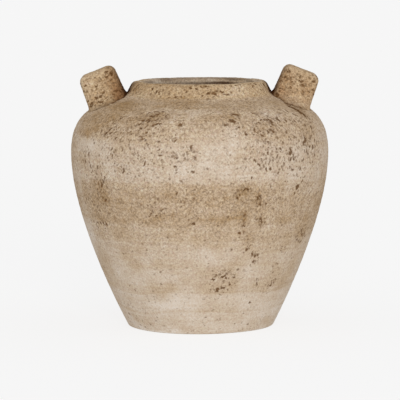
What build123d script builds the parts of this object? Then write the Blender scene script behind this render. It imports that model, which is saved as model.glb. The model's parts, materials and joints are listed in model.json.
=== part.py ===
from build123d import *
import math
import os

# A squat terracotta storage jar, wide at a high shoulder, with a short leaning collar, a thick lip
# and two stub lugs. It is built up from a floor slab and five rings. Each ring has a ridge along
# its lower edge that beds in a groove in the piece below, and the lugs are saddled on afterwards.
# The jar stands on the ground plane with its axis on Z, and its lugs are on -X and +X.

# Outline of the body, in millimetres and degrees
belly_radius = 180.0  # widest part of the jar
belly_height = 244.0  # widest part above the ground
belly_pull_down = 68.0  # how far the wall keeps upright below the belly
belly_pull_up = 62.0  # how far it keeps upright above the belly
foot_radius = 101.8  # where the wall's line meets the ground
foot_lean = 26.4  # outward lean of the wall at the foot
foot_pull = 72.0  # how far the wall keeps that lean
foot_round = 4.0  # worn edge of the foot
shoulder_rise = 78.5  # from the belly up to the neck
shoulder_slope = 17.0  # slope of the shoulder at the neck
shoulder_pull = 36.0  # how far the shoulder keeps that slope

# Collar, lip and mouth
mouth_radius = 75.0
mouth_land = 8.0  # upright band inside the lip
collar_rise = 20.5  # from the neck up to the rim
collar_lean = 27.0  # inward lean of the collar
neck_round = 20.0  # soft corner between the shoulder and the collar
lip_width = 18.0  # from the mouth out to the collar's line
lip_outer_round = 9.0
lip_inner_round = 5.0

# Wall, floor and the joints between the pieces
wall_thickness = 11.0
floor_thickness = 14.0
floor_cove = 10.0  # reach of the smoothed corner between floor and wall
ridge_depth = 4.0
ridge_width = 5.0
wall_rings = ("foot_wall", "lower_wall", "belly_wall")  # from the floor up to the belly

# Stub lugs
lug_width = 56.0  # across the front, at the seat
lug_depth = 54.0  # front to back, at the seat
lug_length = 48.0  # from the seat to the top
lug_lean = 21.7  # outward lean
lug_taper = 2.7  # of each side
lug_corner = 12.0
lug_top_round = 11.0
lug_reach = 25.5  # from the neck out to the lug's centre line


def at(radius, height):
    """A point of the jar's section, in the XZ plane."""
    return Vector(radius, 0, height)


def heading(angle):
    """A direction of the section, leaning outwards from upright by an angle in degrees."""
    return at(math.sin(math.radians(angle)), math.cos(math.radians(angle)))


def inwards(direction):
    """The direction square to one that runs up the outside, into the clay."""
    return at(-direction.Z, direction.X)


def swept_curve(start, start_pull, end, end_pull):
    """A curve that leaves its start along one pull and comes to its end along the other."""
    return Bezier(start, start + start_pull, end - end_pull, end)


def joint_line(outer, inner):
    """The line between two pieces, across the wall from outside to inside.

    In its middle is a groove, sunk into the lower piece, that holds the upper piece's ridge.
    """
    middle = (outer + inner) / 2
    across = (inner - outer).normalized()
    return Polyline(
        outer,
        middle - across * ridge_width / 2,
        middle + inwards(across) * ridge_depth,
        middle + across * ridge_width / 2,
        inner,
    )


def ring(*edges):
    """A ring of clay, turned from the closed outline that the edges make."""
    return revolve(make_face(edges), Axis.Z)


# Outside of the body, from the floor's upper edge to the belly and on to the neck
upright = heading(0)
foot_direction = heading(foot_lean)
shoulder_direction = heading(shoulder_slope - 90)
collar_direction = heading(-collar_lean)
floor_edge = at(foot_radius, 0) + foot_direction * floor_thickness / foot_direction.Z
belly = at(belly_radius, belly_height)
rim_height = belly_height + shoulder_rise + collar_rise
lip_outer = at(mouth_radius + lip_width, rim_height)
neck = lip_outer - collar_direction * collar_rise / collar_direction.Z
lower_outside = swept_curve(
    floor_edge, foot_direction * foot_pull, belly, upright * belly_pull_down
)
upper_outside = swept_curve(
    belly, upright * belly_pull_up, neck, shoulder_direction * shoulder_pull
)

# Soft corner at the neck, which starts on the shoulder and ends on the collar
neck_turn = math.radians(90 - shoulder_slope - collar_lean)
neck_reach = neck_round * math.tan(neck_turn / 2)
corner_foot = 1 - neck_reach / upper_outside.length
corner_top = neck + collar_direction * neck_reach
neck_corner = TangentArc(
    upper_outside @ corner_foot, corner_top, tangent=upper_outside % corner_foot
)
dome_outside = upper_outside.trim(0, corner_foot)

# Inside of the body, one wall further in, with its pulls shortened to suit
mitre = (inwards(shoulder_direction) + inwards(collar_direction)).normalized()
neck_inside = neck + mitre * wall_thickness / mitre.dot(inwards(shoulder_direction))
floor_corner = floor_edge - at(wall_thickness / foot_direction.Z, 0)
belly_inside = belly - at(wall_thickness, 0)
lower_share = (belly_inside - floor_corner).length / (belly - floor_edge).length
upper_share = (neck_inside - belly_inside).length / (neck - belly).length
lower_inside = swept_curve(
    floor_corner,
    foot_direction * foot_pull * lower_share,
    belly_inside,
    upright * belly_pull_down * lower_share,
)
upper_inside = swept_curve(
    belly_inside,
    upright * belly_pull_up * upper_share,
    neck_inside,
    shoulder_direction * shoulder_pull * upper_share,
)

# Floor slab, with a groove for the first ring and a worn foot edge
floor_joint = joint_line(floor_edge, floor_corner)
floor_disc = ring(
    Polyline(at(0, floor_thickness), at(0, 0), at(foot_radius, 0), floor_edge),
    floor_joint,
    Line(floor_corner, at(0, floor_thickness)),
)
foot_edge = floor_disc.edges().group_by(Axis.Z)[0]
pieces = {"floor_disc": fillet(foot_edge, foot_round)}

# Rings from the floor to the belly, the first with a cove that smooths the floor's corner
cove_foot = floor_corner - at(floor_cove, 0)
cove_top = floor_cove / lower_inside.length
cove = TangentArc(
    lower_inside @ cove_top, cove_foot, tangent=-(lower_inside % cove_top)
)
bed = [floor_joint, Line(floor_corner, cove_foot), cove]
inside_start = cove_top
for number, name in enumerate(wall_rings):
    start = number / len(wall_rings)
    end = (number + 1) / len(wall_rings)
    top_joint = joint_line(lower_outside @ end, lower_inside @ end)
    outside = lower_outside.trim(start, end)
    inside = lower_inside.trim(inside_start, end)
    pieces[name] = ring(*bed, outside, top_joint, inside)
    bed = [top_joint]
    inside_start = end

# Shoulder, from the belly to the middle of the neck's corner
neck_joint = joint_line(neck_corner @ 0.5, neck_inside)
pieces["shoulder_dome"] = ring(
    *bed, dome_outside, neck_corner.trim(0, 0.5), neck_joint, upper_inside
)

# Collar, with the upright band of the mouth in a thick rounded lip that overhangs the neck inside
land_foot = at(mouth_radius, rim_height - lip_inner_round - mouth_land)
lip = FilletPolyline(
    corner_top,
    lip_outer,
    at(mouth_radius, rim_height),
    land_foot,
    radius=[lip_outer_round, lip_inner_round],
)
lip_underside = TangentArc(neck_inside, land_foot, tangent=collar_direction)
pieces["neck_collar"] = ring(neck_corner.trim(0.5, 1), lip, lip_underside, neck_joint)

# Lugs, tapered blocks cut by the jar's own outside so that they saddle on it
upper_body = ring(
    Polyline(at(0, rim_height), at(0, belly_height), belly),
    dome_outside,
    neck_corner,
    Polyline(corner_top, lip_outer, at(0, rim_height)),
)
lug_direction = heading(lug_lean)
lug_across = heading(lug_lean + 90)
lug_root = lug_width / 2
root_flare = 2 * lug_root * math.tan(math.radians(lug_taper))
root_plane = Plane(
    origin=neck + lug_across * lug_reach - lug_direction * lug_root,
    x_dir=lug_across,
    z_dir=lug_direction,
)
root_outline = RectangleRounded(
    lug_width + root_flare, lug_depth + root_flare, lug_corner
)
lug = extrude(root_plane * root_outline, lug_root + lug_length, taper=lug_taper)
lug_top = lug.faces().sort_by(Axis(root_plane.origin, lug_direction))[-1]
lug = fillet(lug_top.edges(), lug_top_round)
pieces["lug_right"] = lug - upper_body
pieces["lug_left"] = mirror(pieces["lug_right"], Plane.YZ)

os.makedirs("parts", exist_ok=True)
for name, piece in pieces.items():
    export_step(piece, f"parts/{name}.step")
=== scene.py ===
import bpy
import json
import numpy as np
from mathutils import Matrix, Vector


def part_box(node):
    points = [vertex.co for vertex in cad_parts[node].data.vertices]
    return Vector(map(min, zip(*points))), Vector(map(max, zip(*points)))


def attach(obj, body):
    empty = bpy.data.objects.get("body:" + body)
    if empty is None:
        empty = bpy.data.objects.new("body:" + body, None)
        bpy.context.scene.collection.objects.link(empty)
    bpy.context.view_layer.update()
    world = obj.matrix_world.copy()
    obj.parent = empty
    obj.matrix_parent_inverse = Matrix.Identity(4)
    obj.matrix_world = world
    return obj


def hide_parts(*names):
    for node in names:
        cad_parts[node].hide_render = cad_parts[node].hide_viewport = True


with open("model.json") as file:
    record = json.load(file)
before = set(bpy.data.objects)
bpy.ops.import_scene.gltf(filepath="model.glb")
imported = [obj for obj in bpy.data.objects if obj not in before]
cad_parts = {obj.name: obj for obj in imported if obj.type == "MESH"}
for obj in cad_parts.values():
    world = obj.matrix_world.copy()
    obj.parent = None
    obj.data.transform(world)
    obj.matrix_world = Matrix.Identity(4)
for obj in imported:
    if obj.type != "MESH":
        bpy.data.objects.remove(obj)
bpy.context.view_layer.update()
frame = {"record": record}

# Floor slab
# A disc of coarse sandy clay, rolled flat and cut off its board with a wire, that the jar is built on.
# Its edge has the same brushed slip as the wall, and its underside is bare fired clay. A groove round
# its top beds the first ring.
mm = 0.001
columns = 900  # of each surface that goes round the jar, 1.26 mm apart at the belly
turn = np.arange(columns) / columns * 2 * np.pi  # from the front, on -Y, towards +X
slip_step = 1.15 * mm  # between rows of the slipped outside
bare_step = 3.6 * mm  # between rows of the bare inside
flat_step = 5 * mm  # between rows of the slab's flat faces
wall_thickness = 11 * mm
ridge_depth = 4 * mm
ridge_width = 5 * mm
foot_lean = 26.4  # outward lean of the wall at the foot, in degrees
foot_round = 4 * mm  # worn edge of the foot
floor_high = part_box("floor_disc")[1]
floor_edge = np.array([floor_high.x, floor_high.z])  # radius and height of the slab's upper edge
rim_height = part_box("neck_collar")[1].z


def heading(angle):
    """A direction of the jar's section, radius and height, leaning outwards by an angle in degrees."""
    return np.array([np.sin(np.radians(angle)), np.cos(np.radians(angle))])


def left_of(direction):
    """The direction square to one of the section: into the clay, for one that runs up the outside."""
    return np.array([-direction[1], direction[0]])


def unit(vectors):
    """Vectors, one or many, brought to a length of one."""
    return vectors / np.linalg.norm(vectors, axis=-1, keepdims=True)


def length_along(line):
    """Distance of each point of a line from its first point."""
    steps = np.linalg.norm(np.diff(line, axis=0), axis=1)
    return np.concatenate([[0], np.cumsum(steps)])


def spaced(line, step, start=0.0, end=1.0):
    """Points about one step apart, between two shares of a line's length."""
    length = length_along(line)
    span = (end - start) * length[-1]
    wanted = np.linspace(start, end, round(span / step) + 1) * length[-1]
    return np.stack([np.interp(wanted, length, part) for part in line.T], axis=1)


def tangent_arc(start, direction, end):
    """Points of the circle that leaves its start along a direction and passes through its end."""
    chord = end - start
    square = left_of(direction)
    square = square * np.sign(chord @ square)
    radius = chord @ chord / (2 * chord @ square)
    half_turn = np.arccos(np.clip(chord @ direction / np.linalg.norm(chord), -1, 1))
    swing = np.linspace(0, 2 * half_turn, 61)[:, None]
    return start + radius * (direction * np.sin(swing) + square * (1 - np.cos(swing)))


def round_corner(before, corner, after, radius):
    """The arc that rounds a corner between two straight lines."""
    coming = unit(corner - before)
    going = unit(after - corner)
    reach = radius * np.tan(np.arccos(coming @ going) / 2)
    return tangent_arc(corner - coming * reach, coming, corner + going * reach)


def joint_line(outer, inner):
    """The line between two pieces, across the wall, with a V-shaped groove sunk in the lower piece."""
    middle = (outer + inner) / 2
    across = unit(inner - outer)
    down = left_of(across)
    return np.array(
        [
            outer,
            middle - across * ridge_width / 2,
            middle + down * ridge_depth,
            middle + across * ridge_width / 2,
            inner,
        ]
    )


def turned(line):
    """Each radius and height of a line, or of a direction, carried round the jar's axis."""
    radius, height = line.T[:, :, None]
    x = radius * np.sin(turn)
    y = -radius * np.cos(turn)
    return np.stack([x, y, height + 0 * turn], axis=-1)


def slopes(line):
    """The directions along a line and square to it, out of the clay."""
    along = unit(np.gradient(line, axis=0))
    return along, np.stack([along[:, 1], -along[:, 0]], axis=1)


lattice_ranks = 4096  # different cells of a lattice


def lattice_rank(cell):
    """A number from 0 to 4095 for each cell of a cubic lattice, in no visible order."""
    x, y, z = np.moveaxis(cell.astype(np.int64), -1, 0)
    mixed = x * 73856093 ^ y * 19349663 ^ z * 83492791
    return (mixed ^ mixed >> 13) % lattice_ranks


def clay_noise(place, grain, seed):
    """Smooth random relief of about -1 to 1, in lumps of one grain size, or one for each axis.

    Each corner of a cubic lattice holds a random direction. A place takes its distance along the
    directions of the eight corners round it, blended by a curve that is level at both ends of a cell.
    """
    directions = unit(np.random.default_rng(seed).normal(size=(lattice_ranks, 3)))
    cell = np.floor(place / grain)
    within = place / grain - cell
    blend = within**3 * (within * (within * 6 - 15) + 10)
    total = np.zeros(place.shape[:-1])
    for corner in np.ndindex(2, 2, 2):
        share = np.where(corner, blend, 1 - blend).prod(axis=-1)
        total += share * (directions[lattice_rank(cell + corner)] * (within - corner)).sum(axis=-1)
    return total * 2


def scattered_pits(place, across, up, slant, amount, half_length, half_width, seed):
    """Depth of long pits that lie one to a cell of a cubic lattice, and their rims, both 0 to 1.

    A pit's depth is one less its squared distance, measured in its half length along its slant and
    in its half width aside, and less closely out of the surface. Its rim is a bell just outside its
    edge, which fades as its middle lies further out of the surface. Each pit has its own lean, size
    and strength, and is there only where its random share lies below the amount.
    """
    spacing = half_length * 1.35
    cell = np.floor(place / spacing)
    traits = np.random.default_rng(seed).random((lattice_ranks, 7))
    depth = np.zeros(place.shape[:-1])
    rim = np.zeros(place.shape[:-1])
    for step in np.ndindex(3, 3, 3):
        neighbour = cell + step - 1
        trait = traits[lattice_rank(neighbour)]
        offset = place - (neighbour + trait[..., :3]) * spacing
        east = (offset * across).sum(axis=-1)
        rising = (offset * up).sum(axis=-1)
        off = (offset**2).sum(axis=-1) - east**2 - rising**2
        lean = slant + (trait[..., 3] - 0.5) * 1.2
        along = east * np.cos(lean) + rising * np.sin(lean)
        aside = rising * np.cos(lean) - east * np.sin(lean)
        far = (along / half_length) ** 2 + (aside**2 + 0.1 * off) / half_width**2
        size = 0.6 + 0.4 * trait[..., 4]
        held = np.clip((amount - trait[..., 5]) * 20, 0, 1) * (0.5 + 0.5 * trait[..., 6])
        sunk = 1 - far / size**2
        depth = np.maximum(depth, held * np.clip(sunk, 0, 1))
        bell = np.exp(-(((sunk + 0.35) / 0.25) ** 2) - 0.5 * off / half_width**2)
        rim = np.maximum(rim, held * bell)
    return depth, rim


# The grime share is painted shade in corners, creases and the mouth, with some real grime in it.
surface_marks = ("pits", "pitting", "wash", "shade_and_grime", "grit", "bare")  # shares that the finish reads


def weathered(place, out, across, up, slant, pitting, scars, dips, wash, shade_and_grime, grit, worn):
    """A slipped surface with the marks of making and age, and the shares that its finish reads.

    The surface sinks by slow swells, throwing rings, grit, scratches, pits and dips in mm. Pits have
    ragged edges, because they are looked up at places moved about by a fine noise. The wash is the brown
    stain that was rubbed over the slip: it drifts in blotches and fine brush streaks and stays in
    scratches. It is paler on the tops of the grit and the rims of pits, partly where it was rubbed off and
    partly as painted light and shade of that relief. The grime share darkens corners, creases and the
    mouth, partly as grime and partly as painted shade, and worn places show the clay under the slip.
    """
    ragged = place + across * clay_noise(place, 2.8 * mm, 1)[..., None] * 1.1 * mm
    ragged += up * clay_noise(place, 2.8 * mm, 2)[..., None] * 1.1 * mm
    strokes, rims = scattered_pits(ragged, across, up, slant, 0.8 * pitting, 5 * mm, 1.9 * mm, 20)
    scratched = 0.3 * grit + 0.2 * pitting
    scratches, _ = scattered_pits(ragged, across, up, slant, scratched, 5.2 * mm, 1.4 * mm, 21)
    pits = np.maximum(strokes * (0.6 + 0.5 * pitting), scars)
    grains = grit * (clay_noise(place, 3.8 * mm, 7) + 0.7 * clay_noise(place, 2.5 * mm, 8))
    streaks = clay_noise(place, np.array([70, 70, 2.6]) * mm, 4)
    swells = clay_noise(place, 100 * mm, 5)
    rings = clay_noise(place, np.array([130, 130, 8]) * mm, 6)
    relief = 0.22 * swells + 0.16 * rings
    relief += 0.2 * grains + 0.1 * rims - 0.4 - 0.15 * scratches - 0.8 * pits - dips
    blotches = clay_noise(place, 52 * mm, 9)
    mottle = clay_noise(place, 19 * mm, 10)
    wash = 0.5 + wash + 0.14 * blotches + 0.12 * mottle
    # Paler on grit tops and pit rims: partly rubbed-off wash, partly painted light and shade of that relief
    wash += 0.08 * streaks + 0.14 * pitting - 0.13 * grains + 0.24 * scratches - 0.33 * rims
    return {
        "place": place + out * np.minimum(relief, 0)[..., None] * mm,
        "pits": pits,
        "pitting": pitting,
        "wash": np.clip(wash, 0, 1),
        "shade_and_grime": np.clip(shade_and_grime, 0, 1),
        "grit": grit,
        "bare": np.clip(worn, 0, 1),
    }


# Pitted patches: degrees from the front, mm up the outside, half width and half height in mm, amount
pitted_patches = [
    (-24, 322, 24, 14, 0.9), (-24, 326, 14, 8, 0.4), (-40, 306, 34, 16, 0.45), (-46, 297, 10, 8, 0.2),
    (-26, 295, 30, 14, 0.35), (-26, 274, 60, 34, 0.24), (-9, 313, 8, 8, 0.6), (-7, 266, 22, 12, 0.35),
    (-36, 267, 28, 10, 0.25), (-36, 246, 8, 10, 0.4), (-9, 248, 14, 9, 0.25), (-13, 330, 22, 14, 0.25),
    (-7, 354, 10, 8, 0.4), (-62, 257, 18, 16, 0.6), (-52, 240, 22, 10, 0.3), (-49, 214, 15, 28, 0.6),
    (-60, 205, 24, 30, 0.2), (-54, 167, 18, 9, 0.55), (16, 327, 11, 17, 0.85), (6, 326, 18, 16, 0.3),
    (42, 280, 68, 54, 0.52), (43, 266, 16, 14, 0.3), (29, 264, 20, 22, 0.4), (30, 290, 18, 14, 0.25),
    (54, 281, 20, 10, 0.35), (32, 316, 40, 16, 0.28), (63, 300, 22, 30, 0.3), (19, 215, 8, 14, 0.75),
    (27, 208, 7, 15, 0.75), (40, 205, 34, 18, 0.2), (21, 174, 5, 18, 0.75), (29, 172, 5, 12, 0.7),
    (24, 138, 8, 13, 0.75), (29, 120, 7, 13, 0.7), (-19, 189, 14, 8, 0.3), (-5, 176, 12, 7, 0.3),
    (-8, 206, 50, 18, 0.06), (62, 146, 20, 12, 0.6), (13, 93, 13, 11, 0.5), (11, 70, 13, 8, 0.5),
    (10, 84, 28, 26, 0.22), (33, 68, 7, 18, 0.35), (46, 102, 12, 8, 0.5), (46, 73, 14, 6, 0.6),
    (47, 128, 12, 6, 0.6), (8, 389, 20, 6, 0.5), (20, 391, 18, 5, 0.4), (2, 401, 14, 5, 0.3),
    (52, 398, 12, 6, 0.4), (-62, 396, 16, 8, 0.25),
]
# Brown or, where negative, pale patches of the wash, in the same measures
washed_patches = [
    (-56, 345, 60, 24, 0.27), (-62, 306, 42, 18, 0.38), (-40, 323, 32, 14, 0.18), (-35, 311, 22, 10, 0.07),
    (-24, 321, 20, 10, 0.12), (-10, 314, 8, 7, 0.1), (-58, 272, 38, 13, -0.2), (-24, 276, 40, 24, -0.07),
    (-20, 365, 50, 18, 0.12), (10, 328, 26, 12, 0.08), (8, 286, 40, 24, -0.16), (4, 243, 76, 14, -0.16),
    # The brown patch at 66 degrees and 336 mm adds painted shade to the crease at the right lug's foot
    (46, 334, 50, 16, -0.04), (-2, 335, 26, 14, -0.12), (66, 336, 18, 18, 0.4), (66, 292, 20, 14, -0.02),
    (42, 284, 26, 12, 0.08), (48, 315, 26, 12, -0.08), (28, 286, 20, 12, -0.05), (40, 262, 46, 38, -0.19),
    (-45, 205, 40, 20, 0.1), (2, 211, 92, 13, 0.12), (-20, 180, 34, 5, 0.15), (12, 180, 30, 6, 0.2),
    (5, 125, 40, 12, -0.15), (62, 155, 26, 20, 0.24), (52, 226, 44, 16, -0.12), (48, 202, 34, 18, 0.04),
    (46, 174, 26, 12, 0.06), (30, 172, 22, 20, -0.14), (17, 206, 16, 12, -0.08), (-72, 180, 24, 46, -0.2),
    (-75, 142, 24, 22, -0.2), (-56, 111, 26, 16, -0.12), (-32, 110, 40, 8, 0.08), (12, 88, 28, 18, 0.08),
    (-30, 85, 44, 16, -0.15), (-22, 72, 22, 8, 0.12), (-15, 50, 50, 12, -0.15), (-50, 22, 24, 8, 0.18),
    (50, 85, 30, 14, 0.1), (23, 55, 28, 12, -0.15), (51, 15, 24, 10, 0.1), (-35, 3, 40, 3, -0.3),
    (36, 391, 24, 10, -0.12), (-12, 392, 24, 9, -0.08),
]
# Painted shade, with some grime, in the corners of the collar beside the lugs and in the crease at the foot
# of the right lug, in the same measures
shade_and_grime_patches = [
    (-88, 386, 20, 10, 0.9), (-82, 394, 15, 9, 0.6), (88, 386, 20, 10, 0.9), (84, 393, 12, 10, 0.7),
    (66, 332, 14, 16, 0.15),
]
# Dips of the lip, in the same measures, with a depth in mm
lip_dips = [
    (-149, 415, 16, 12, 0.7), (-98, 415, 26, 12, 0.8), (128, 415, 18, 12, 0.7), (180, 415, 60, 12, 0.3),
]
# Brushed bands all round: mm up the outside at the lower and upper edge, brown or pale
washed_bands = [
    (0, 34, -0.28), (36, 66, -0.22), (68, 108, -0.06), (110, 145, -0.08), (170, 205, 0.15),
    (205, 224, 0.04), (226, 285, -0.12), (345, 384, 0.09), (384, 405, 0.11), (407, 430, -0.2),
]
# Pitted bands all round, in the same measures, here only the collar
pitted_bands = [(380, 408, 0.19)]
band_edge = 3 * mm  # soft edge of a band
deepest_gouge = 3.4  # half width in mm of one that is as deep as any
# Single gouges: degrees from the front, mm up, half length and half width in mm, degrees up to the right.
# The five widest, near 64 degrees, make up the crease in front of the right lug's foot.
gouges = [
    (-47, 294, 4.5, 2.2, 40), (-45, 301, 4, 2, 30), (-42, 320, 5, 2, 50), (-40, 288, 3.5, 1.8, 20),
    (-28, 304, 3.5, 2, 0), (-24, 303, 2.6, 2, 0), (-34, 297, 3, 1.6, 0), (-26, 318, 6, 2.2, 25),
    (-25, 326, 4, 2.4, 0), (-22, 331, 5, 2.6, 40), (-19, 313, 3.5, 2.4, 30), (-22, 310, 3, 2, 40),
    (-9, 311, 3.8, 2.6, -20), (-20, 338, 4.5, 2, 10), (-27, 292, 3, 1.8, 0), (-24, 286, 2.8, 2, 0),
    (-18, 286, 2.8, 1.6, -20), (-12, 288, 3.2, 1.5, -20), (-4, 278, 2.4, 1.9, 0), (-11, 271, 5, 1.6, -40),
    (-10, 264, 5, 1.7, 0), (-5, 269, 3, 1.5, 80), (-2, 264, 4.5, 1.6, -40), (-35, 245, 5, 2, 80),
    (-10, 244, 2.8, 1.6, 15), (-3, 245, 3, 1.7, 20), (-8, 232, 5, 1.4, -35), (-24, 198, 2.6, 1.8, 80),
    (-10, 216, 3, 2, 60), (3, 201, 5, 1.3, -10), (-49, 222, 4, 2.2, 60), (-48, 201, 4, 2.4, 40),
    (-3, 173, 3.4, 1.9, 10), (19, 330, 5, 3, -20), (16, 317, 5.5, 3.2, -35), (12, 311, 4, 2, -50),
    (54, 280, 4.6, 3.4, 40), (43, 266, 5.5, 2.5, 30), (31, 268, 3.4, 2.2, 40), (32, 246, 2.4, 2, 0),
    (45, 242, 2.6, 2.2, 0), (49, 218, 6.5, 3.2, 50), (52, 225, 4, 1.6, 55), (55, 271, 4.5, 1.3, 85),
    (26, 300, 7.5, 2, -52), (35, 298, 7.5, 2, -52), (36, 314, 7.5, 2.4, -50), (46, 313, 5, 1.3, -45),
    (21, 296, 4.5, 2, -65), (27, 251, 6, 1.4, -70), (20, 249, 6, 1.3, 65), (20, 219, 4.5, 2.5, 30),
    (27, 210, 4.5, 1.6, 85), (21, 185, 6, 1.5, 82), (21, 174, 5, 1.6, 88), (21, 158, 5, 1.4, 85),
    (28, 200, 6, 1.6, 88), (29, 177, 4, 1.5, 85), (30, 166, 5, 1.4, 88), (24, 132, 4, 2.2, 60),
    (30, 122, 3.5, 2, 20), (29, 113, 3, 2, 60), (13, 93, 4.5, 2.8, 20), (10, 71, 3.4, 2.4, 80),
    (12, 65, 3, 1.4, -50), (17, 80, 3, 2, -30), (33, 49, 2.6, 1.8, 0), (46, 73, 3, 1.8, 20),
    (3, 28, 2.4, 1.5, 0), (-62, 25, 2.4, 1.6, 0), (46, 129, 3, 1.4, 0), (16, 133, 3, 1.3, 0),
    (2, 148, 3, 1.3, 0), (63, 146, 3.4, 2.2, 30), (62, 341, 5, 4, 115), (63, 336, 5, 5, 110),
    (64, 330, 5, 5.5, 105), (64, 324, 5, 5, 100), (65, 318, 4, 3.5, 95), (7, 388, 4.5, 2.8, 10),
    (12, 388, 4.5, 2.8, -5), (19, 390, 4, 2, 20), (23, 386, 3, 2, 0), (6, 400, 4, 2.2, 0),
    (2, 401, 3, 1.5, 0), (28, 398, 3, 1.9, 30), (33, 400, 3.5, 1.6, -20), (42, 400, 3, 1.6, 0),
    (51, 397, 3.6, 2.6, 80), (57, 399, 3, 1.9, 0), (71, 397, 4, 3, 80), (-42, 394, 3.2, 1.8, 85),
    (-35, 400, 2.8, 1.6, 0), (-34, 390, 2.4, 1.6, 0), (-7, 397, 2.8, 2.4, 0), (-10, 391, 2.4, 1.9, 0),
    (-2, 395, 3, 1.9, 0), (-65, 396, 3.5, 2.4, 60), (-68, 391, 3.5, 2.2, 50), (-80, 396, 4, 3, 80),
]


def beside(angle, radius):
    """Distance round the jar from an angle in degrees, to the nearer side."""
    return radius * ((turn - np.radians(angle) + np.pi) % (2 * np.pi) - np.pi)


def patched(patches, radius, rise, place):
    """Sum of ragged patches: each is level within and falls off where its squared distance nears one.

    Distance is measured round the jar and up its outside. The back has the same patches, half a turn on.
    """
    stray = clay_noise(place, 20 * mm, 11) * 6 * mm
    total = np.zeros(place.shape[:-1])
    for angle, height, half_width, half_height, strength in patches:
        above = (rise - height * mm + stray) / (half_height * mm)
        for facing in (angle, angle + 180):
            aside = (beside(facing, radius) + stray) / (half_width * mm)
            total += strength * np.exp(-((aside**2 + above**2) ** 2))
    return total


def banded(bands, rise, place):
    """Sum of bands all round the jar, with soft wavering edges."""
    drift = rise + 5 * mm * clay_noise(place, 60 * mm, 13)
    total = np.zeros(place.shape[:-1])
    for low, high, strength in bands:
        within = np.minimum(drift - low * mm, high * mm - drift) / band_edge
        total += strength * np.clip(0.5 + within, 0, 1)
    return total


def gouged(marks, aside_from, rise, place):
    """Depth, 0 to 1, of single gouges: one less the squared distance in half lengths and half widths.

    A narrow gouge is shallower than a wide one. A mark's first value is turned into distances sideways
    from it by the function that is given.
    """
    astray, risen = (clay_noise(place, 3.4 * mm, seed) * 1.7 * mm for seed in (17, 19))
    depth = np.zeros(place.shape[:-1])
    for side_place, height, half_length, half_width, slant in marks:
        east = aside_from(side_place) + astray
        rising = rise - height * mm + risen
        lean = np.radians(slant)
        along = (east * np.cos(lean) + rising * np.sin(lean)) / (half_length * mm)
        aside = (rising * np.cos(lean) - east * np.sin(lean)) / (half_width * mm)
        sunk = min(half_width / deepest_gouge, 1)
        depth = np.maximum(depth, sunk * (1 - along**2 - aside**2))
    return depth


lip_shade_start = 405 * mm  # up the outside, where the lip's darkening starts, partly grime and partly painted shade
lip_top_end = 421 * mm  # where the lip's top has turned down into the mouth
low_mouth_shade_start = 423 * mm  # where the thicker painted shade low on the upright band inside starts
darkest_mouth_shade = np.radians(148)  # from the front, where the painted shade inside the mouth is darkest


def mouth_shade_and_grime(rise, place):
    """Streaky darkening on the lip's top and inner side, partly grime and partly painted shade.

    On the top it is thicker at the back. Low on the upright band inside it is painted shade inside the
    mouth: it is thicker there too, and thickest at the right of the back, with a paler line above.
    """
    back = np.clip(-np.cos(turn), 0, 1)
    thick = 0.5 + 0.5 * np.cos(turn - darkest_mouth_shade)
    edge = low_mouth_shade_start - 1 * mm * thick + 1.2 * mm * clay_noise(place, 30 * mm, 18)
    low = (0.55 + 0.38 * thick**12) * np.clip((rise - edge) / (2.2 * mm), 0, 1)
    on_top = np.clip((lip_top_end - rise) / (1.5 * mm), 0, 1)
    streaks = on_top * (0.24 + 0.36 * back) + (1 - on_top) * (0.56 - 0.48 * thick**2)
    streaks = streaks + 0.3 * clay_noise(place, np.array([30, 30, 2.5]) * mm, 23)
    return np.maximum(low, streaks * np.clip((rise - lip_shade_start) / (6 * mm), 0, 1))


rough_start = 100 * mm  # up the outside, where pits and grit begin to grow
rough_span = 90 * mm  # over which they grow to the full
dome_start = 300 * mm  # above which strokes are turned least from level
dome_span = 40 * mm  # over which they come to that


def slipped(line, first_rise):
    """A weathered surface on a line of the jar's outside, with its patches, bands and gouges.

    The upper half has more pits and grit than the lower one, and pale places are smoother.
    """
    place = turned(line)
    along, square = slopes(line)
    radius = line[:, :1]
    rise = first_rise + length_along(line)[:, None]
    across = np.stack([np.cos(turn), np.sin(turn), 0 * turn], axis=-1)
    upper = np.clip((rise - rough_start) / rough_span, 0, 1)
    pitting = 0.06 * upper * (1 + clay_noise(place, 40 * mm, 12)) - 0.04
    pitting += patched(pitted_patches, radius, rise, place) + banded(pitted_bands, rise, place)
    wash = patched(washed_patches, radius, rise, place) + banded(washed_bands, rise, place)
    shade_and_grime = patched(shade_and_grime_patches, radius, rise, place) + mouth_shade_and_grime(rise, place)
    scars = gouged(gouges, lambda angle: beside(angle, radius), rise, place)
    steep = np.clip((dome_start - rise) / dome_span, 0, 1)
    slant = -np.sin(turn) * (1.4 + 0.8 * steep)
    grit = (0.3 + 0.7 * upper) * np.clip(1 + 2 * wash, 0.3, 1)
    dips = patched(lip_dips, radius, rise, place)
    pitting = np.clip(pitting, 0, 1)
    out = turned(square)
    up = turned(along)
    unworn = 0 * scars
    return weathered(place, out, across, up, slant, pitting, scars, dips, wash, shade_and_grime, grit, unworn)


ring_spacing = 14 * mm  # of the throwing rings inside
inner_shade_reach = 60 * mm  # depth below the rim at which the painted shade inside has faded to about a third


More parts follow.
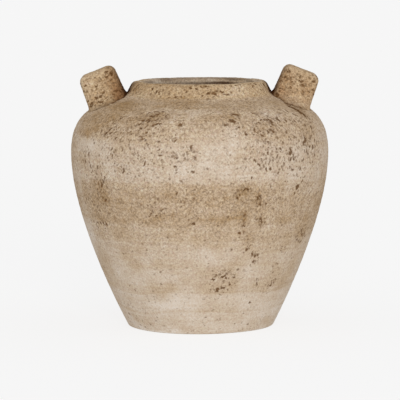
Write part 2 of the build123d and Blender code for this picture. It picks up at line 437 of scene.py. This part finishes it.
def bared(line):
    """A bare surface: throwing rings as a wave along the line, and the roughness of coarse clay.

    Inside the mouth, under the lip, shade is painted dark: darkest at the rim and fading with depth below it.
    """
    place = turned(line)
    along, square = slopes(line)
    phase = length_along(line)[:, None] * 2 * np.pi / ring_spacing
    rings = np.sin(phase + 2 * clay_noise(place, 90 * mm, 14))
    relief = 0.25 * rings + 0.2 * clay_noise(place, 14 * mm, 15) - 0.45
    level = np.zeros(place.shape[:-1])
    return {
        "place": place + turned(square) * np.minimum(relief, 0)[..., None] * mm,
        "pits": level,
        "pitting": level + 0.15,
        "wash": level + 0.5,
        "shade_and_grime": 0.8 * np.exp((place[..., 2] - rim_height) / inner_shade_reach),
        "grit": level + 0.6,
        "bare": level + 1,
    }


def hidden(place):
    """A plain surface of bare clay inside a joint."""
    level = np.zeros(place.shape[:-1])
    shares = {mark: level for mark in surface_marks}
    return {**shares, "place": place, "bare": level + 1}


def add_object(name, data):
    """Adds an object to the scene that shows a mesh, a lamp or a camera."""
    added = bpy.data.objects.new(name, data)
    bpy.context.scene.collection.objects.link(added)
    return added


def new_piece(name, runs, poles=None):
    """One mesh from runs of rows, each row a loop of points, that follow each other round a section.

    With no poles, the last row joins on to the first. Otherwise the poles are the points that close
    the first and the last row. Edges where two runs meet stay sharp.
    """
    rows = sum(len(run["place"]) for run in runs)
    count = runs[0]["place"].shape[1]
    place = np.concatenate([run["place"] for run in runs]).reshape(-1, 3)
    number = np.arange(rows * count).reshape(rows, count)
    low = number if poles is None else number[:-1]
    high = np.roll(number, -1, axis=0) if poles is None else number[1:]
    ahead = np.roll(low, -1, axis=1)
    quads = np.stack([low, ahead, np.roll(high, -1, axis=1), high], axis=-1).reshape(-1, 4)
    corners = [quads.ravel()]
    sizes = [np.full(len(quads), 4)]
    values = {mark: np.concatenate([run[mark] for run in runs]).ravel() for mark in surface_marks}
    if poles is not None:
        first = rows * count
        last = first + 1
        around = np.arange(count)
        onward = np.roll(around, -1)
        foot_fan = np.stack([onward, around, np.full(count, first)], axis=-1)
        head_fan = np.stack([number[-1][around], number[-1][onward], np.full(count, last)], axis=-1)
        corners += [foot_fan.ravel(), head_fan.ravel()]
        sizes += [np.full(2 * count, 3)]
        place = np.concatenate([place, poles])
        for mark in surface_marks:
            ends = [runs[0][mark][0].mean(), runs[-1][mark][-1].mean()]
            values[mark] = np.concatenate([values[mark], ends])
    corners = np.concatenate(corners)
    sizes = np.concatenate(sizes)
    mesh = bpy.data.meshes.new(name)
    mesh.vertices.add(len(place))
    mesh.vertices.foreach_set("co", place.astype(np.float32).ravel())
    mesh.loops.add(len(corners))
    mesh.loops.foreach_set("vertex_index", corners.astype(np.int32))
    mesh.polygons.add(len(sizes))
    mesh.polygons.foreach_set("loop_start", (np.cumsum(sizes) - sizes).astype(np.int32))
    mesh.update(calc_edges=True)
    for mark in surface_marks:
        layer = mesh.attributes.new(mark, "FLOAT", "POINT")
        layer.data.foreach_set("value", values[mark].astype(np.float32))
    edge_ends = np.zeros(2 * len(mesh.edges), np.int32)
    mesh.edges.foreach_get("vertices", edge_ends)
    edge_rows = edge_ends.reshape(-1, 2) // count
    starts = np.cumsum([0] + [len(run["place"]) for run in runs])
    borders = np.concatenate([starts[:-1], starts[1:] - 1])
    sharp = (edge_rows[:, 0] == edge_rows[:, 1]) & np.isin(edge_rows[:, 0], borders)
    layer = mesh.attributes.new("sharp_edge", "BOOLEAN", "EDGE")
    layer.data.foreach_set("value", sharp)
    return add_object(name, mesh)


def linear(hex_colour):
    """An sRGB hex colour as the linear colour that shaders use."""
    channels = np.array([int(hex_colour[digit : digit + 2], 16) for digit in (1, 3, 5)]) / 255
    curve = np.where(channels <= 0.04045, channels / 12.92, ((channels + 0.055) / 1.055) ** 2.4)
    return (*curve, 1.0)


def empty_tree(owner):
    """The node tree of a material or of the surround, with nothing in it yet."""
    owner.use_nodes = True
    owner.node_tree.nodes.clear()
    return owner.node_tree


def add_node(tree, kind, inputs, output=0, **settings):
    """Adds a node with its settings, and gives one of its outputs.

    An input is a value, or another node's output to link to.
    """
    node = tree.nodes.new(kind)
    for name, value in settings.items():
        setattr(node, name, value)
    for socket, value in inputs.items():
        if isinstance(value, bpy.types.NodeSocket):
            tree.links.new(value, node.inputs[socket])
        else:
            node.inputs[socket].default_value = value
    return None if output is None else node.outputs[output]


def slipped_terracotta(name, pale_slip, sandy_slip, brown_wash):
    """Coarse terracotta under a brushed sandy slip, stained with a brown wash and rubbed back.

    The eye sees a dead matte skin, sand grains, thin dark scratches and brown pits where the stain was
    left, and paler worn places between. Where the slip stops, the redder bare clay shows. A dark brown
    paints shade, with some grime, in corners, creases and the mouth.
    """
    pit_stain = "#664524"
    # dark brown painted shade for corners, creases and the mouth, with some grime in it
    shade_and_grime_colour = "#452711"
    bare_clay = "#A9805C"
    grain_size = 2.4 * mm  # sand in the slip, drawn about twice as coarse as it is so that it shows
    speck_size = 3.8 * mm  # stained specks
    scratch_size = 6.5 * mm  # loops of the scratches that the brush and the rubbing left
    pit_spacings = (4.2 * mm, 6.4 * mm)  # of small and larger pits
    pit_wander = 2.6 * mm  # how ragged their edges are
    pit_scarcity = 3  # how fast they shrink where the clay is less pitted
    scratch_width = 0.045  # how near the noise has to be to its middle value
    speck_gain = 0.06  # how much further specks spread where the clay is pitted
    bump_depth = 0.5 * mm
    pattern_turn = (0.5, 0.4, 0.7)  # so that no pattern lines up with the flat faces of the lugs
    material = bpy.data.materials.new(name)
    tree = empty_tree(material)
    upright = add_node(tree, "ShaderNodeTexCoord", {}, "Object")
    place = add_node(tree, "ShaderNodeMapping", {"Vector": upright, "Rotation": pattern_turn})
    pits, pitting, wash, shade_and_grime, grit, bare = (
        add_node(tree, "ShaderNodeAttribute", {}, "Fac", attribute_name=mark) for mark in surface_marks
    )
    grain, specks, loops = (
        add_node(
            tree,
            "ShaderNodeTexNoise",
            {"Vector": place, "Scale": 1 / size, "Detail": detail, "Distortion": distortion},
        )
        for size, detail, distortion in ((grain_size, 1, 0.4), (speck_size, 2, 0.6), (scratch_size, 1, 1.6))
    )
    on_loop = add_node(tree, "ShaderNodeMath", {0: loops, 1: 0.5, 2: scratch_width}, operation="COMPARE")
    scratch = add_node(tree, "ShaderNodeMath", {0: on_loop, 1: grit}, operation="MULTIPLY")
    reach = add_node(tree, "ShaderNodeMath", {0: pitting, 1: speck_gain, 2: specks}, operation="MULTIPLY_ADD")
    wander = add_node(
        tree, "ShaderNodeTexNoise", {"Vector": place, "Scale": 1 / pit_wander, "Detail": 1}, "Color"
    )
    ragged = add_node(
        tree,
        "ShaderNodeVectorMath",
        {0: wander, 1: [pit_wander] * 3, 2: place},
        operation="MULTIPLY_ADD",
    )
    far_from_pits = []
    for spacing in pit_spacings:
        far = add_node(tree, "ShaderNodeTexVoronoi", {"Vector": ragged, "Scale": 1 / spacing}, "Distance")
        chance = add_node(tree, "ShaderNodeSeparateColor", {0: far.node.outputs["Color"]}, "Red")
        lacking = add_node(
            tree, "ShaderNodeMath", {0: chance, 1: pitting}, operation="SUBTRACT", use_clamp=True
        )
        pushed = {0: lacking, 1: pit_scarcity, 2: far}
        far_from_pits.append(add_node(tree, "ShaderNodeMath", pushed, operation="MULTIPLY_ADD"))
    far = add_node(tree, "ShaderNodeMath", dict(enumerate(far_from_pits)), operation="MINIMUM")
    ranged = {}
    for kind, value, low, high, least, most in (
        ("sandy", wash, 0, 0.5, 0, 1),
        ("brown", wash, 0.5, 1, 0, 1),
        ("strokes", pits, 0.05, 0.42, 0, 0.88),
        ("dots", far, 0.4, 0.22, 0, 0.6),
        ("specks", reach, 0.6, 0.74, 0, 0.45),
        ("breaks", specks, 0.42, 0.52, 0, 0.4),
        ("sand", grain, 0.25, 0.75, 0, 1),
        ("sand share", grit, 0, 1, 0.18, 0.33),
        ("dullness", grain, 0.3, 0.7, 0.86, 0.98),
    ):
        limits = {"Value": value, "From Min": low, "From Max": high, "To Min": least, "To Max": most}
        ranged[kind] = add_node(tree, "ShaderNodeMapRange", limits)
    stain = add_node(tree, "ShaderNodeMath", {0: scratch, 1: ranged["breaks"]}, operation="MULTIPLY")
    for kind in ("specks", "dots", "strokes"):
        stain = add_node(tree, "ShaderNodeMath", {0: stain, 1: ranged[kind]}, operation="MAXIMUM")
    share_in, lower_in, upper_in, mix_out = 0, 6, 7, 2  # sockets of a mix of two colours
    clay = linear(pale_slip)
    for share, colour in (
        (ranged["sandy"], sandy_slip),
        (ranged["brown"], brown_wash),
        (bare, bare_clay),
        (stain, pit_stain),
        (shade_and_grime, shade_and_grime_colour),
    ):
        layers = {share_in: share, lower_in: clay, upper_in: linear(colour)}
        clay = add_node(tree, "ShaderNodeMix", layers, mix_out, data_type="RGBA")
    layers = {share_in: ranged["sand share"], lower_in: clay, upper_in: ranged["sand"]}
    sandy = add_node(tree, "ShaderNodeMix", layers, mix_out, data_type="RGBA", blend_type="OVERLAY")
    bump = add_node(tree, "ShaderNodeBump", {"Height": grain, "Strength": 0.6, "Distance": bump_depth})
    skin = add_node(
        tree,
        "ShaderNodeBsdfPrincipled",
        {"Base Color": sandy, "Roughness": ranged["dullness"], "Specular IOR Level": 0.02, "Normal": bump},
    )
    add_node(tree, "ShaderNodeOutputMaterial", {"Surface": skin}, None)
    return material


foot_way = heading(foot_lean)
foot_corner = floor_edge - foot_way * floor_edge[1] / foot_way[1]
foot_arc = round_corner(np.zeros(2), foot_corner, floor_edge, foot_round)
floor_rise = np.linalg.norm(floor_edge - foot_corner)
floor_corner = floor_edge - [wall_thickness / foot_way[1], 0]
floor_joint = joint_line(floor_edge, floor_corner)
pole_gap = 4 * mm  # from the axis to the first loop
pole_sink = 0.4 * mm  # about as far as the rough faces are sunk
body_colours = ("#E2D3C2", "#CBB499", "#AA8B65")  # pale slip, sandy slip and brown wash
underside = spaced(np.array([[pole_gap, 0], foot_arc[0]]), flat_step)
foot_side = spaced(np.concatenate([foot_arc, floor_edge[None]]), slip_step)
floor_face = spaced(np.array([floor_corner, [pole_gap, floor_edge[1]]]), flat_step)
floor_runs = [
    bared(underside[:-1]),
    slipped(foot_side, floor_rise - length_along(foot_side)[-1]),
    hidden(turned(floor_joint[1:-1])),
    bared(floor_face),
]
floor_poles = np.array([[0, 0, pole_sink], [0, 0, floor_edge[1] - pole_sink]])
floor_slab = new_piece("floor_slab", floor_runs, floor_poles)
floor_slab.data.materials.append(slipped_terracotta("slab terracotta", *body_colours))
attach(floor_slab, "root")
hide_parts("floor_disc")

# Wall rings
# Three thick rings of the same clay, coiled or thrown one on the other up to the widest line and luted
# ridge in groove, so that no seam shows outside. The first one's inner foot is smoothed into a cove.
foot_pull = 72 * mm  # how far the wall keeps its lean above the foot
belly_pull_down = 68 * mm  # how far it keeps upright below the belly
floor_cove = 10 * mm  # reach of the smoothed corner between floor and wall
belly_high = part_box("belly_wall")[1]
belly = np.array([belly_high.x, belly_high.z])
belly_inside = belly - [wall_thickness, 0]
wall_rings = ("foot_wall", "lower_wall", "belly_wall")


def swept_curve(start, start_pull, end, end_pull):
    """A cubic curve that leaves its start along one pull and comes to its end along the other."""
    share = np.linspace(0, 1, 600)[:, None]
    rest = 1 - share
    first = rest**3 * start + 3 * rest**2 * share * (start + start_pull)
    return first + 3 * rest * share**2 * (end - end_pull) + share**3 * end


lower_share = np.linalg.norm(belly_inside - floor_corner) / np.linalg.norm(belly - floor_edge)
lean_pull = foot_way * foot_pull
upright_pull = heading(0) * belly_pull_down
lower_outside = swept_curve(floor_edge, lean_pull, belly, upright_pull)
lower_inside = swept_curve(floor_corner, lean_pull * lower_share, belly_inside, upright_pull * lower_share)
lower_length = length_along(lower_outside)[-1]
body_terracotta = slipped_terracotta("body terracotta", *body_colours)
bed = floor_joint
for number, name in enumerate(wall_rings):
    start = number / len(wall_rings)
    end = (number + 1) / len(wall_rings)
    outside = spaced(lower_outside, slip_step, start, end)
    inside = spaced(lower_inside, bare_step, start, end)[::-1]
    if number == 0:
        inside_length = length_along(lower_inside)[-1]
        inside = spaced(lower_inside, bare_step, floor_cove / inside_length, end)[::-1]
        down = unit(inside[-1] - inside[-2])
        cove = tangent_arc(inside[-1], down, floor_corner - [floor_cove, 0])
        inside = np.concatenate([inside, spaced(cove, bare_step)[1:], floor_corner[None]])
    top_joint = joint_line(outside[-1], inside[0])
    ring_runs = [
        slipped(outside, floor_rise + start * lower_length),
        hidden(turned(top_joint[1:-1])),
        bared(inside),
        hidden(turned(bed[::-1][1:-1])),
    ]
    ring = new_piece(name + "_clay", ring_runs)
    ring.data.materials.append(body_terracotta)
    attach(ring, "root")
    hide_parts(name)
    bed = top_joint

# Shoulder
# The ring that turns in from the belly to the neck, thrown with the jar on the wheel. Its foot beds in
# the belly ring, and the corner at the neck is filled with soft clay where the collar was luted on.
belly_pull_up = 62 * mm  # how far the wall keeps upright above the belly
shoulder_slope = 17  # at the neck, in degrees
shoulder_pull = 36 * mm  # how far the shoulder keeps that slope
shoulder_stretch = 1.35  # how much wider apart rows are on this, the largest piece
collar_lean = 27  # inwards, in degrees
collar_rise = 20.5 * mm  # from the neck up to the rim
neck_round = 20 * mm  # radius of the soft corner
lip_width = 18 * mm  # from the mouth out to the collar's line
mouth = next(mount["dims"] for mount in frame["record"]["mounts"] if mount["name"] == "mouth")
mouth_radius = mouth["r_mm"] * mm
lip_outer = np.array([mouth_radius + lip_width, rim_height])
shoulder_way = heading(shoulder_slope - 90)
collar_way = heading(-collar_lean)
neck = lip_outer - collar_way * collar_rise / collar_way[1]
mitre = unit(left_of(shoulder_way) + left_of(collar_way))
neck_inside = neck + mitre * wall_thickness / (mitre @ left_of(shoulder_way))
upper_share = np.linalg.norm(neck_inside - belly_inside) / np.linalg.norm(neck - belly)
slope_pull = shoulder_way * shoulder_pull
upper_outside = swept_curve(belly, heading(0) * belly_pull_up, neck, slope_pull)
upper_inside = swept_curve(
    belly_inside, heading(0) * belly_pull_up * upper_share, neck_inside, slope_pull * upper_share
)
belly_rise = floor_rise + lower_length
neck_reach = neck_round * np.tan(np.arccos(shoulder_way @ collar_way) / 2)
upper_length = length_along(upper_outside)[-1]
dome = spaced(upper_outside, slip_step, 0, 1 - neck_reach / upper_length)
neck_corner = tangent_arc(dome[-1], slopes(dome)[0][-1], neck + collar_way * neck_reach)
neck_middle = len(neck_corner) // 2
dome_line = np.concatenate([dome[:-1], neck_corner[: neck_middle + 1]])
outside = spaced(dome_line, slip_step * shoulder_stretch)
inside = spaced(upper_inside, bare_step * shoulder_stretch)[::-1]
neck_joint = joint_line(outside[-1], neck_inside)
shoulder_runs = [
    slipped(outside, belly_rise),
    hidden(turned(neck_joint[1:-1])),
    bared(inside),
    hidden(turned(bed[::-1][1:-1])),
]
shoulder = new_piece("shoulder_clay", shoulder_runs)
shoulder.data.materials.append(body_terracotta)
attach(shoulder, "root")
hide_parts("shoulder_dome")

# Collar
# A short ring that leans in over the neck, with a thick rounded lip and an upright band that a lid or a
# liner fits. It was thrown by itself, luted on, and browned more by the wash than the body.
mouth_land = mouth["length_mm"] * mm
lip_outer_round = 9 * mm
lip_inner_round = 5 * mm
lip_step = 1.0 * mm  # between rows of the collar
browned_colours = ("#E4D3BF", "#D0B796", "#AC8B63")
lip_inner = np.array([mouth_radius, rim_height])
land_foot = lip_inner - [0, lip_inner_round + mouth_land]
lip_line = np.concatenate(
    [
        neck_corner[neck_middle:],
        round_corner(neck, lip_outer, lip_inner, lip_outer_round),
        round_corner(lip_outer, lip_inner, land_foot, lip_inner_round),
        land_foot[None],
    ]
)
lip_underside = tangent_arc(neck_inside, collar_way, land_foot)[::-1]
lip = spaced(lip_line, lip_step)
collar_runs = [
    slipped(lip, belly_rise + length_along(dome_line)[-1]),
    bared(spaced(lip_underside, lip_step)[1:]),
    hidden(turned(neck_joint[::-1][1:-1])),
]
collar = new_piece("collar_clay", collar_runs)
collar.data.materials.append(slipped_terracotta("collar terracotta", *browned_colours))
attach(collar, "root")
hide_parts("neck_collar")

# Lugs
# Two stub lugs, cut from a tapered block of clay and saddled on the shoulder and the collar's foot after
# the jar was thrown. They are solid, lean outwards, and have rounded corners and a flat top with soft edges.
lug_width = 56 * mm  # across the front, at the seat
lug_depth = 54 * mm  # front to back, at the seat
lug_length = 48 * mm  # from the seat to the top
lug_lean = 21.7  # outwards, in degrees
lug_taper = 2.7  # of each side, in degrees
lug_corner = 12 * mm
lug_top_round = 11 * mm
lug_reach = 25.5 * mm  # from the neck out to the lug's centre line
lug_root = lug_width / 2  # below the seat, where the search for the foot starts
lug_columns = 320
side_rows = 70
round_rows = 13
top_rows = 25
row_crowding = 1.5  # power that draws the rows of the sides towards the foot
top_gap = 0.06  # share of the top's outline that its innermost loop has
crown_sink = 0.3 * mm  # about as far as the rough top is sunk
bottom_sink = 2.5 * mm  # from the seat down to the bottom's middle
halvings = 30  # of the search for the foot
lug_sink = 1.5 * mm  # how far the foot of a lug goes into the shoulder
lug_smear = 2.5 * mm  # slip smeared round the foot
root_slope = 0.14  # rise of the luting clay, in front and behind, for its reach
root_end = 18 * mm  # inwards from the lug's middle, where the luting clay stops
root_fade = 10 * mm  # over which it comes to its full reach
crease_height = 2.5 * mm  # of the crease above the foot, painted brown and dark as shade
pitted_reach = 11 * mm  # half height of the belt with most pits
jar_outside = np.concatenate([dome_line, neck_corner[neck_middle + 1 :], lip_outer[None]])


def block_outline(half_width, half_depth, corner, count):
    """Points of a rectangle with round corners, evenly spaced, and the directions out of it."""
    quarter = np.linspace(0, np.pi / 2, 40)
    arcs = []
    for number, (east, north) in enumerate([(1, 1), (-1, 1), (-1, -1), (1, -1)]):
        swing = quarter + number * np.pi / 2
        middle = np.array([east * (half_width - corner), north * (half_depth - corner)])
        arcs.append(middle + corner * np.stack([np.cos(swing), np.sin(swing)], axis=1))
    closed = np.concatenate(arcs + [arcs[0][:1]])
    points = spaced(closed, length_along(closed)[-1] / count)[:-1]
    ahead = unit(np.roll(points, -1, axis=0) - np.roll(points, 1, axis=0))
    return points, np.stack([ahead[:, 1], -ahead[:, 0]], axis=1)


def lug_piece(
    name, side, marks, root_reach, pitted_height, crease_shade, corner_shade_fade, wear_all_over, inner_shade_and_wear
):
    """A lug, worked out in its own block of width, depth and height and then leaned and seated.

    The sides narrow as they rise, turn in by a quarter circle and close in a flat top. Near the foot they
    are pushed out by smeared slip and, in front and behind, by luting clay, both of which die away with
    height above the foot. The foot of each column lies where the pushed-out side is a little inside the
    jar, and is found by halving the span between root and top again and again.
    """
    outline, sideways = block_outline(lug_width / 2, lug_depth / 2, lug_corner, lug_columns)
    axis = np.array([side * heading(lug_lean)[0], 0, heading(lug_lean)[1]])
    wide = np.array([side * heading(lug_lean + 90)[0], 0, heading(lug_lean + 90)[1]])
    deep = np.array([0, side, 0])
    seat = np.array([side * neck[0], 0, neck[1]]) + wide * lug_reach
    narrowing = np.tan(np.radians(lug_taper))

    def seated(flat, height):
        """Points of the block, in the jar's own frame."""
        return seat + flat[..., :1] * wide + flat[..., 1:] * deep + height[..., None] * axis

    def on_side(height):
        """The block's side at some height above the seat, for each column."""
        return outline - sideways * narrowing * height[..., None]

    # Foot of each column
    clear_of_collar = np.clip((outline[:, 0] + root_end) / root_fade, 0, 1)
    root = root_reach * sideways[:, 1] ** 2 * clear_of_collar
    smear_reach = lug_smear + root
    smear_fade = lug_smear + root_slope * root
    low = np.full(lug_columns, -lug_root)
    high = np.full(lug_columns, lug_length)
    for _ in range(halvings):
        half = (low + high) / 2
        point = seated(on_side(half) + sideways * smear_reach[:, None], half)
        radius = np.hypot(point[:, 0], point[:, 1])
        inside = radius < np.interp(point[:, 2], jar_outside[:, 1], jar_outside[:, 0]) - lug_sink
        low = np.where(inside, half, low)
        high = np.where(inside, high, half)
    foot = high

    # Sides, soft edge and flat top
    edge_height = lug_length - lug_top_round
    share = np.linspace(0, 1, side_rows)[:, None] ** row_crowding
    side_height = foot + share * (edge_height - foot)
    smear = smear_reach * np.exp(-(side_height - foot) / smear_fade)
    side_flat = on_side(side_height) + sideways * smear[..., None]
    swing = np.linspace(0, np.pi / 2, round_rows + 1)[1:, None]
    round_height = edge_height + lug_top_round * np.sin(swing) + 0 * foot
    round_flat = on_side(np.full(lug_columns, edge_height))
    round_flat = round_flat - sideways * (lug_top_round * (1 - np.cos(swing)))[..., None]
    top_share = np.linspace(1, top_gap, top_rows + 1)[1:, None, None]
    top_flat = round_flat[-1] * top_share
    top_height = np.full(top_flat.shape[:2], lug_length)
    flat = np.concatenate([side_flat, round_flat, top_flat])
    height = np.concatenate([side_height, round_height, top_height])
    tilt = np.concatenate([np.zeros(side_rows), swing[:, 0], np.full(top_rows, np.pi / 2)])
    tilt = tilt[:, None, None]
    off_side = sideways[:, :1] * wide + sideways[:, 1:] * deep
    out = off_side * np.cos(tilt) + axis * np.sin(tilt)
    up = axis * np.cos(tilt) - off_side * np.sin(tilt)
    across = np.cross(up, out)
    place = seated(flat, height)

    # Marks of making and age, and painted shade in the crease at the foot and at the inner corner by the
    # collar
    above = np.clip((height - foot) / (lug_length - foot), 0, 1)
    inward = np.clip(0.5 - flat[..., 0] / lug_width, 0, 1)
    crease = np.exp(-(height - foot) / crease_height)
    pitting = 0.12 + 0.25 * inward + 0.4 * clay_noise(place, 14 * mm, 16)
    pitting += 0.4 * np.exp(-(((height - pitted_height) / pitted_reach) ** 2))
    innermost = np.clip((inward - 0.62) / 0.16, 0, 1) * (1 - above**2)
    # Brown in the crease and towards the inner side is painted shade, and so is the dark brown in the crease
    # and at the inner corner; the bare clay at the inner side is wear.
    wash = 0.05 + 0.25 * crease + inner_shade_and_wear * (0.3 * inward**2 * (1 - 0.5 * above) + 0.2 * innermost)
    shade_and_grime = crease * (2 * crease_shade * (1 - inward) + 0.4 * inward**3)
    shade_and_grime += 0.95 * inward**corner_shade_fade * (1 - 0.7 * above)
    worn = wear_all_over * (1.1 - 0.8 * above) + inner_shade_and_wear * innermost
    worn *= 0.8 + 0.5 * clay_noise(place, 9 * mm, 22)
    facing = flat[..., 1] * side < 0
    scars = gouged(marks, lambda outward: flat[..., 0] - outward * mm, height, place)
    scars = np.where(facing, scars, 0)
    pitting = np.clip(pitting, 0, 1)
    none = 0 * height  # no slant and no dips
    full = none + 1  # of grit
    outside = weathered(place, out, across, up, none, pitting, scars, none, wash, shade_and_grime, full, worn)

    # Bottom, inside the joint
    foot_share = np.array([0.1, 0.5, 0.9])[:, None, None]
    middle = seated(np.zeros(2), np.array(-bottom_sink))
    bottom = hidden(middle + (place[0] - middle) * foot_share)
    crown = seated(np.zeros(2), np.array(lug_length - crown_sink))
    return new_piece(name, [bottom, outside], np.array([middle, crown]))


lug_terracotta = slipped_terracotta("lug terracotta", *browned_colours)
# Gouges on a lug's front: mm outwards and up from the seat's middle, half length, half width, degrees
left_gouges = [
    (5, 13, 4.5, 2.2, 0), (-1, 16, 3.5, 2, -20), (0, 7, 3, 2, 30), (11, 13, 3, 2, 20),
    (-12, 9, 4.5, 1.5, 60), (-20, 38, 4, 1.8, -40), (20, 8, 3.5, 2.2, 0), (24, 5, 3, 2, 0),
    (-17, 42, 2.6, 1.6, 40), (-19, 12, 3, 1.8, 40), (-19, 23, 2.6, 1.5, 60), (-22, 9, 3, 2, 70),
]
right_gouges = [
    (-22, 2, 4, 3.4, 60), (-18, 39, 6, 2, -45), (4, 32, 4, 1.6, 40), (10, 31, 3.5, 1.4, -30),
    (-9, 27, 3, 1.5, 0), (1, 19, 2.5, 1.6, 0), (-14, 31, 3.5, 1.4, 30), (7, 28, 3.5, 1.8, -20),
    (12, 40, 4, 1.6, -40), (-24, 22, 3.5, 1.5, 60), (-8, 19, 2.4, 1.6, 0), (-1, 39, 3.5, 1.5, -35),
    (-20, 29, 4, 1.5, -40),
]
# Each lug's side and gouges, reach of its luting clay, height of its pitted belt, painted shade in its
# crease, how fast painted shade fades from its inner corner, how worn it is all over, and how much painted
# shade and wear it has at its inner side
for name, side, *finish in (
    ("lug_left", -1, left_gouges, 20 * mm, 10 * mm, 0.6, 8, 0.0, 0.85),
    ("lug_right", 1, right_gouges, 31 * mm, 27 * mm, 0.85, 18, 0.35, 0.2),
):
    lug = lug_piece(name + "_clay", side, *finish)
    lug.data.materials.append(lug_terracotta)
    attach(lug, "root")
    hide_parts(name)

# Studio
# A wide plain floor, an even pale surround, and one broad soft lamp beside the camera. The floor and
# the surround look the same pale grey to the camera, and the floor keeps the jar's shadow.
studio_grey = "#F6F6F6"
floor_reach = 40  # metres to each side
ambient = 0.6  # light from the surround
key_strength = 1.32
key_spread = 30  # degrees across, so that its shadows are soft
key_tilt = 80  # degrees from straight down
key_side = 6  # degrees round to the right of the camera
floor_shade = 0.22  # how pale the floor is to the light on it
floor_glow = 0.84  # of its own, which makes up the rest of its look
surround = bpy.data.worlds.new("surround")
bpy.context.scene.world = surround
sky = empty_tree(surround)
shown = add_node(sky, "ShaderNodeLightPath", {}, "Is Camera Ray")
for ray in ("Is Glossy Ray", "Is Transmission Ray"):
    also = add_node(sky, "ShaderNodeLightPath", {}, ray)
    shown = add_node(sky, "ShaderNodeMath", {0: shown, 1: also}, operation="MAXIMUM")
glow = add_node(sky, "ShaderNodeBackground", {"Color": (1, 1, 1, 1), "Strength": ambient})
view = add_node(sky, "ShaderNodeBackground", {"Color": linear(studio_grey), "Strength": 1})
mixed = add_node(sky, "ShaderNodeMixShader", {0: shown, 1: glow, 2: view})
add_node(sky, "ShaderNodeOutputWorld", {"Surface": mixed}, None)

studio_floor = add_object("studio_floor", bpy.data.meshes.new("studio_floor"))
corners = np.array([[-1, -1, 0], [1, -1, 0], [1, 1, 0], [-1, 1, 0]]) * floor_reach
studio_floor.data.from_pydata(corners, [], [(0, 1, 2, 3)])
paper = bpy.data.materials.new("studio paper")
sheet = empty_tree(paper)
shaded = (floor_shade, floor_shade, floor_shade, 1)
dim = add_node(sheet, "ShaderNodeBsdfDiffuse", {"Color": shaded})
fill = add_node(sheet, "ShaderNodeEmission", {"Color": linear(studio_grey), "Strength": floor_glow})
seen = add_node(sheet, "ShaderNodeAddShader", {0: dim, 1: fill})
add_node(sheet, "ShaderNodeOutputMaterial", {"Surface": seen}, None)
studio_floor.visible_diffuse = False
studio_floor.data.materials.append(paper)

key = bpy.data.lights.new("key", "SUN")
key.energy = key_strength
key.angle = np.radians(key_spread)
key_lamp = add_object("key", key)
key_lamp.rotation_euler = (np.radians(key_tilt), 0, np.radians(key_side))

# Camera
# A long lens a little above the jar, turned by a fraction of a degree as in the photograph.
camera_distance = 3.91625  # metres
camera_height_angle = np.radians(5.877)
camera_roll = np.radians(-0.4)
aim_height = 0.1751
camera = bpy.data.cameras.new("camera")
camera.sensor_width = 36
camera.lens = 251.71
camera.clip_end = 100
viewer = add_object("camera", camera)
back = camera_distance * np.array([0, -np.cos(camera_height_angle), np.sin(camera_height_angle)])
viewer.matrix_world = (
    Matrix.Translation((back[0], back[1], aim_height + back[2]))
    @ Matrix.Rotation(np.pi / 2 - camera_height_angle, 4, "X")
    @ Matrix.Rotation(camera_roll, 4, "Z")
)
bpy.context.scene.camera = viewer
bpy.context.scene.view_settings.view_transform = "Standard"
